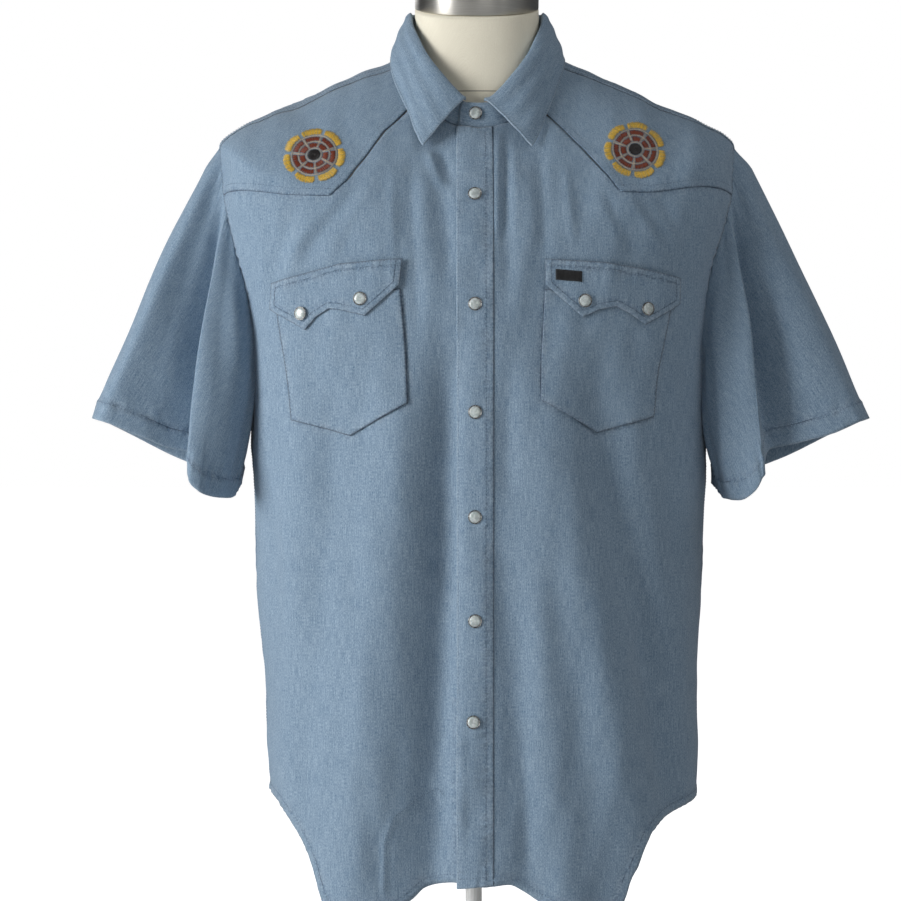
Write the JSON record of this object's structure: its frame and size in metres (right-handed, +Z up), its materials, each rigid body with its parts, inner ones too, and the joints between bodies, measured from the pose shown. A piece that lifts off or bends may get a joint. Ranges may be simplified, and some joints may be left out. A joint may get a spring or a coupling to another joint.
{
  "type": "western snap shirt on a dress form",
  "caption": "Short-sleeved blue chambray western snap shirt with pointed yokes, sawtooth pocket flaps and embroidered rosettes, worn by a limbless dress form on a round base.",
  "frame": {"origin": "middle of the base's underside, on the surface it stands on", "axes": "+Z up along the post; the shirt's front faces -Y; +X is the wearer's left"},
  "size_m": [0.758, 0.32, 1.0714],
  "materials": {
    "chambray": "fine slubby plain weave, washed, dull sheen, worn pale at the edges",
    "label_cloth": "tight woven label, bare",
    "snap_pearl": "pearly cap in a grey metal rim",
    "form_linen": "plain cream linen stretched smooth",
    "cap_metal": "turned and brushed",
    "stand_paint": "smooth white paint"
  },
  "bodies": {
    "root": {"front_right": "chambray", "front_left": "chambray", "back": "chambray", "back_yoke": "chambray", "front_yoke_right": "chambray", "front_yoke_left": "chambray", "sleeve_right": "chambray", "sleeve_left": "chambray", "collar": "chambray", "collar_stand": "chambray", "placket": "chambray", "pocket_right": "chambray", "pocket_left": "chambray", "pocket_flap_right": "chambray", "pocket_flap_left": "chambray", "label": "label_cloth", "snap_collar": "snap_pearl", "snap_placket_1": "snap_pearl", "snap_placket_2": "snap_pearl", "snap_placket_3": "snap_pearl", "snap_placket_4": "snap_pearl", "snap_placket_5": "snap_pearl", "snap_placket_6": "snap_pearl", "snap_flap_right_1": "snap_pearl", "snap_flap_right_2": "snap_pearl", "snap_flap_left_1": "snap_pearl", "snap_flap_left_2": "snap_pearl", "form_torso": "form_linen", "neck_cap": "cap_metal", "post": "stand_paint", "base": "stand_paint"}
  },
  "joints": []
}
